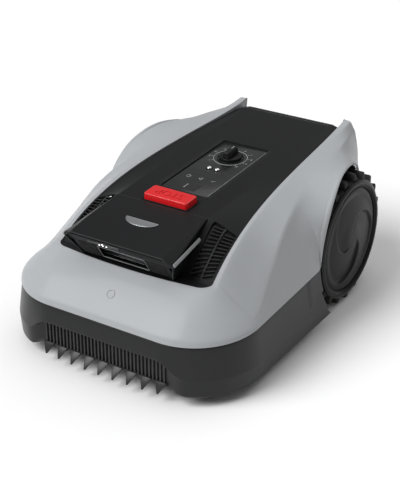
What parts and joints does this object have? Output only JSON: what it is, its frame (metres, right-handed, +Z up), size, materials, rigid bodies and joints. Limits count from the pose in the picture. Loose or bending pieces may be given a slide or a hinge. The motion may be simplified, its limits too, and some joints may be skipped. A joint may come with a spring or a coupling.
{
  "type": "robotic lawn mower",
  "caption": "Robotic lawn mower with driven rear wheels, front casters, sprung skirt bumper, stop button and a height-adjustable blade disc.",
  "frame": {"origin": "on the ground under the middle of the mower's box", "axes": "+Z up, -Y the way the mower drives, +X the mower's left-hand side seen from its nose"},
  "size_m": [0.428, 0.594, 0.2489],
  "materials": {
    "grey_shell": "satin moulded plastic, silver grey",
    "deck_black": "satin charcoal plastic",
    "panel_gloss": "semi-gloss charcoal plastic",
    "fascia_black": "black plastic, fine ribs",
    "dark_glass": "dark see-through plastic, gloss",
    "led_white": "clear lenses",
    "strip_grey": "satin grey diffuser",
    "badge_metal": "brushed, blank",
    "knob_black": "fine texture",
    "marking_white": "printed",
    "chrome": "polished",
    "stop_red": "gloss red",
    "spring_steel": "plain",
    "skirt_black": "satin charcoal plastic",
    "tub_black": "moulded black plastic",
    "nylon": "natural nylon",
    "contact_brass": "plain",
    "tyre_rubber": "matt rubber",
    "wheel_black": "satin black plastic",
    "bright_steel": "turned",
    "gearbox_grey": "moulded",
    "motor_steel": "plated can",
    "caster_grey": "matt",
    "blade_disc_black": "moulded",
    "blade_steel": "ground edges",
    "battery_case": "moulded",
    "board_green": "solder mask"
  },
  "bodies": {
    "chassis": {"arch_liners": "tub_black", "badge_plate": "badge_metal", "battery_pack": "battery_case", "bumper_bushes": "nylon", "bumper_springs": "spring_steel", "carry_handle": "tub_black", "caster_sockets": "nylon", "charging_contacts": "contact_brass", "chassis_screws": "bright_steel", "chassis_tub": "tub_black", "control_panel": "panel_gloss", "cowl_cover": "deck_black", "cutting_guard": "tub_black", "deck_cover": "deck_black", "dial_scale": "marking_white", "display_window": "dark_glass", "drive_motors": "motor_steel", "fin_liners": "grey_shell", "front_fascia": "fascia_black", "gearboxes": "gearbox_grey", "grey_top_shell": "grey_shell", "guide_rods": "bright_steel", "light_strip_left": "strip_grey", "light_strip_right": "strip_grey", "main_board": "board_green", "rain_sensor_studs": "chrome", "rear_corners": "skirt_black", "rear_panel": "skirt_black", "sensor_window": "dark_glass", "side_trim_left": "skirt_black", "side_trim_right": "skirt_black", "status_leds": "led_white", "stop_button_tray": "deck_black", "stop_spring": "spring_steel", "touch_keys": "marking_white", "vent_grilles": "fascia_black"},
    "skirt_bumper": {"skirt_bumper": "skirt_black", "front_comb": "skirt_black"},
    "stop_button": {"stop_button": "stop_red"},
    "height_dial": {"dial_knob": "knob_black", "dial_pointer": "marking_white"},
    "wheel_left": {"tyre_left": "tyre_rubber", "wheel_disc_left": "wheel_black", "hub_cover_left": "wheel_black", "axle_left": "bright_steel"},
    "wheel_right": {"tyre_right": "tyre_rubber", "wheel_disc_right": "wheel_black", "hub_cover_right": "wheel_black", "axle_right": "bright_steel"},
    "caster_fork_left": {"caster_fork_left": "wheel_black"},
    "caster_fork_right": {"caster_fork_right": "wheel_black"},
    "caster_wheel_left": {"caster_wheel_left": "caster_grey"},
    "caster_wheel_right": {"caster_wheel_right": "caster_grey"},
    "height_carriage": {"blade_motor": "motor_steel", "height_carriage": "gearbox_grey"},
    "blade_disc": {"blade_disc": "blade_disc_black", "blade_screws": "bright_steel"},
    "blade_1": {"blade_1": "blade_steel"},
    "blade_2": {"blade_2": "blade_steel"},
    "blade_3": {"blade_3": "blade_steel"}
  },
  "joints": [
    {"name": "bumper_slide", "type": "slide", "parent": "chassis", "child": "skirt_bumper", "axis": [0, 1, 0], "range_m": [0, 0.003], "stiffness_N_per_m": 3000, "springref_m": -0.004, "deforming": ["bumper_springs"]},
    {"name": "stop_press", "type": "slide", "parent": "chassis", "child": "stop_button", "axis": [0, 0.0479, -0.9988], "range_m": [0, 0.003], "stiffness_N_per_m": 1500, "springref_m": -0.002, "deforming": ["stop_spring"]},
    {"name": "carriage_lift", "type": "slide", "parent": "chassis", "child": "height_carriage", "axis": [0, 0, 1], "range_m": [-0.02, 0.02]},
    {"name": "dial_turn", "type": "hinge", "parent": "chassis", "child": "height_dial", "pos_m": [0, 0.08095, 0.2322], "axis": [0, -0.0479, 0.9988], "range_deg": [-135.5, 135.5]},
    {"name": "disc_spin", "type": "hinge", "parent": "height_carriage", "child": "blade_disc", "pos_m": [0, -0.005, 0.04], "axis": [0, 0, 1], "continuous": true},
    {"name": "wheel_left_spin", "type": "hinge", "parent": "chassis", "child": "wheel_left", "pos_m": [-0.175, 0.136, 0.11281], "axis": [1, 0, 0], "continuous": true},
    {"name": "wheel_right_spin", "type": "hinge", "parent": "chassis", "child": "wheel_right", "pos_m": [0.175, 0.136, 0.11281], "axis": [1, 0, 0], "continuous": true},
    {"name": "caster_left_swivel", "type": "hinge", "parent": "chassis", "child": "caster_fork_left", "pos_m": [-0.116, -0.165, 0.09], "axis": [0, 0, 1], "continuous": true},
    {"name": "caster_left_roll", "type": "hinge", "parent": "caster_fork_left", "child": "caster_wheel_left", "pos_m": [-0.116, -0.147, 0.032], "axis": [1, 0, 0], "continuous": true},
    {"name": "caster_right_swivel", "type": "hinge", "parent": "chassis", "child": "caster_fork_right", "pos_m": [0.116, -0.165, 0.09], "axis": [0, 0, 1], "continuous": true},
    {"name": "caster_right_roll", "type": "hinge", "parent": "caster_fork_right", "child": "caster_wheel_right", "pos_m": [0.116, -0.147, 0.032], "axis": [1, 0, 0], "continuous": true},
    {"name": "blade_1_swing", "type": "hinge", "parent": "blade_disc", "child": "blade_1", "pos_m": [0, -0.083, 0.039], "axis": [0, 0, 1], "continuous": true},
    {"name": "blade_2_swing", "type": "hinge", "parent": "blade_disc", "child": "blade_2", "pos_m": [0.06755, 0.034, 0.039], "axis": [0, 0, 1], "continuous": true},
    {"name": "blade_3_swing", "type": "hinge", "parent": "blade_disc", "child": "blade_3", "pos_m": [-0.06755, 0.034, 0.039], "axis": [0, 0, 1], "continuous": true}
  ],
  "couplings": [
    {"joint": "dial_turn", "follows": "carriage_lift", "rad_per_m": 117.81}
  ]
}
